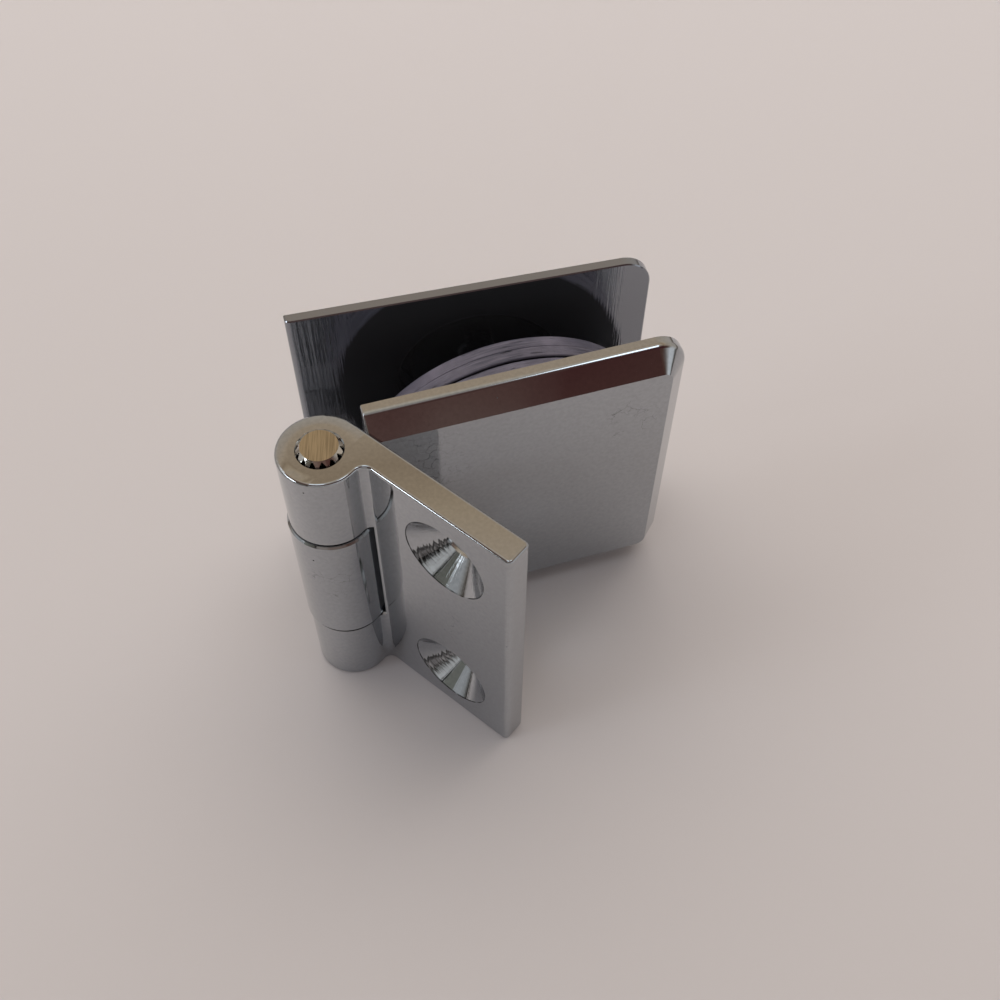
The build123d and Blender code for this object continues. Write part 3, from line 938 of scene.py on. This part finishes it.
def soft_room(heading):
    """A plain room for the chrome to mirror: bright overhead, beige ahead, and towards the near side
    a dark horizon, a pale wall and a wine-red curtain.  Seen directly it is a plain pale backdrop."""
    world = bpy.data.worlds.new("soft_room")
    world.use_nodes = True
    tree = world.node_tree
    way = add(tree, "ShaderNodeTexCoord").outputs["Generated"]
    turned = add(tree, "ShaderNodeMapping", {"Vector": way, "Rotation": (0.0, 0.0, heading)})
    # x points to the right, y ahead and z up
    part = add(tree, "ShaderNodeSeparateXYZ", {0: turned})
    rise = add(tree, "ShaderNodeMath", {0: part.outputs["Z"]}, operation="ARCSINE")
    # hanging folds and shelves: the height of each edge wavers with the direction
    folds = add(tree, "ShaderNodeTexNoise", {"Vector": turned, "Scale": 2.2, "Detail": 2.0})
    folds = add(tree, "ShaderNodeMapRange", {
        "Value": folds, "To Min": radians(-4), "To Max": radians(4),
    })
    wavering = add(tree, "ShaderNodeMath", {0: rise, 1: folds}, operation="ADD")

    # the curtain begins at 0.28 to the right, is thinnest at 0.37 and covers the wall from 0.46 on
    curtained = add(tree, "ShaderNodeValToRGB", {"Fac": part.outputs["X"]})
    set_stops(curtained, [(place, (drawn, drawn, drawn)) for place, drawn in (
        (0.28, 0.0), (0.33, 0.5), (0.37, 0.1), (0.42, 0.3), (0.46, 1.0),
    )])
    near = add(tree, "ShaderNodeMix", {
        0: curtained.outputs[0], 6: left_wall(tree, part, rise, wavering), 7: right_wall(tree, wavering),
    }, data_type="RGBA")

    # a dull beam crosses the ceiling a little to the right
    overhead = add(tree, "ShaderNodeMath", {0: rise, 1: radians(60)}, operation="GREATER_THAN")
    beam = within(tree, (part.outputs["X"], 0.14, 0.12))
    beam = add(tree, "ShaderNodeMath", {0: beam, 1: overhead}, operation="MULTIPLY")
    near = add(tree, "ShaderNodeMix", {
        0: beam.outputs[0], 6: near.outputs[2], 7: (*linear("#a39c95"), 1.0),
    }, data_type="RGBA", blend_type="DARKEN")

    ahead = add(tree, "ShaderNodeMapRange", {
        "Value": part.outputs["Y"], "From Min": -0.25, "From Max": 0.25,
    }, interpolation_type="SMOOTHSTEP")
    room = add(tree, "ShaderNodeMix", {
        0: ahead.outputs[0], 6: near.outputs[2], 7: wall_ahead(tree, rise),
    }, data_type="RGBA")

    # beyond the beam hangs a lit panel
    panel = within(tree, (part.outputs["X"], 0.335, 0.055), (part.outputs["Y"], -0.05, 0.15))
    panel = add(tree, "ShaderNodeMath", {0: panel, 1: overhead}, operation="MULTIPLY")
    room = add(tree, "ShaderNodeMix", {
        0: panel.outputs[0], 6: room.outputs[2], 7: (2.6, 2.8, 3.0, 1.0),
    }, data_type="RGBA")

    seen = add(tree, "ShaderNodeLightPath").outputs["Is Camera Ray"]
    shown = add(tree, "ShaderNodeMix", {
        0: seen, 6: room.outputs[2], 7: (*linear("#cfc6c1"), 1.0),
    }, data_type="RGBA")
    tree.links.new(shown.outputs[2], tree.nodes["Background"].inputs["Color"])
    return world


class HINGE_OT_stage(bpy.types.Operator):
    """Pale board, soft light and the camera"""
    bl_idname = "hinge.stage"
    bl_label = "Stage"

    def execute(self, context):
        scene = context.scene
        settings = scene.hinge_stage
        scene.view_settings.view_transform = "Standard"
        heading, drop, roll = settings.camera_heading, settings.camera_drop, settings.camera_roll
        scene.world = soft_room(heading)

        half = settings.board_width / 2
        mesh = bpy.data.meshes.new("board")
        corners = [(-half, -half), (half, -half), (half, half), (-half, half)]
        mesh.from_pydata([(x, y, FLOOR) for x, y in corners], [], [(0, 1, 2, 3)])
        board = bpy.data.objects.new("board", mesh)
        scene.collection.objects.link(board)
        dress(board, matt_board(scene.hinge_finish))

        right = Vector((cos(heading), -sin(heading), 0.0))
        ahead = Vector((sin(heading), cos(heading), 0.0))
        lamp = bpy.data.lights.new("softbox", "AREA")
        lamp.shape = "RECTANGLE"
        lamp.size = settings.lamp_width
        lamp.size_y = settings.lamp_depth
        lamp.energy = settings.lamp_power
        lamp.color = settings.lamp_colour
        softbox = bpy.data.objects.new("softbox", lamp)
        rightwards, beyond, above = settings.lamp_place
        softbox.location = right * rightwards + ahead * beyond + Vector((0.0, 0.0, above))
        softbox.rotation_euler = softbox.location.to_track_quat("Z", "Y").to_euler()
        softbox.visible_glossy = False
        scene.collection.objects.link(softbox)

        look = ahead * cos(drop) - Vector((0.0, 0.0, sin(drop)))
        top = right.cross(look)
        eye = bpy.data.cameras.new("camera")
        eye.sensor_width = 36.0
        eye.lens = settings.lens
        eye.clip_start = 10 * MM
        camera = bpy.data.objects.new("camera", eye)
        turn = Matrix((
            right * cos(roll) + top * sin(roll),
            top * cos(roll) - right * sin(roll),
            -look,
        )).transposed().to_4x4()
        camera.matrix_world = Matrix.Translation(Vector(settings.camera_place)) @ turn
        scene.collection.objects.link(camera)
        scene.camera = camera
        return {"FINISHED"}


class HINGE_PT_sidebar(bpy.types.Panel):
    """Lists the hinge's pieces, its finishes and sizes, and the stage"""
    bl_idname = "HINGE_PT_sidebar"
    bl_label = "Glass door hinge"
    bl_space_type = "VIEW_3D"
    bl_region_type = "UI"
    bl_category = "Hinge"

    def draw(self, context):
        for operator in OPERATORS:
            self.layout.operator(operator.bl_idname)
        for name in GROUPS:
            group = getattr(context.scene, name)
            for field in group.__annotations__:
                self.layout.prop(group, field)


OPERATORS = (
    HINGE_OT_castings,
    HINGE_OT_pin,
    HINGE_OT_backing_plate,
    HINGE_OT_pads,
    HINGE_OT_clamp_screws,
    HINGE_OT_stage,
)
GROUPS = {"hinge_finish": HingeFinish, "hinge_sizes": HingeSizes, "hinge_stage": HingeStage}


def register():
    for name, group in GROUPS.items():
        bpy.utils.register_class(group)
        setattr(bpy.types.Scene, name, PointerProperty(type=group))
    for operator in OPERATORS:
        bpy.utils.register_class(operator)
    bpy.utils.register_class(HINGE_PT_sidebar)


def unregister():
    bpy.utils.unregister_class(HINGE_PT_sidebar)
    for operator in reversed(OPERATORS):
        bpy.utils.unregister_class(operator)
    for name, group in GROUPS.items():
        delattr(bpy.types.Scene, name)
        bpy.utils.unregister_class(group)


def main():
    register()
    bpy.ops.hinge.castings()
    bpy.ops.hinge.pin()
    bpy.ops.hinge.backing_plate()
    bpy.ops.hinge.pads()
    bpy.ops.hinge.clamp_screws()
    bpy.ops.hinge.stage()


if __name__ == "__main__":
    main()
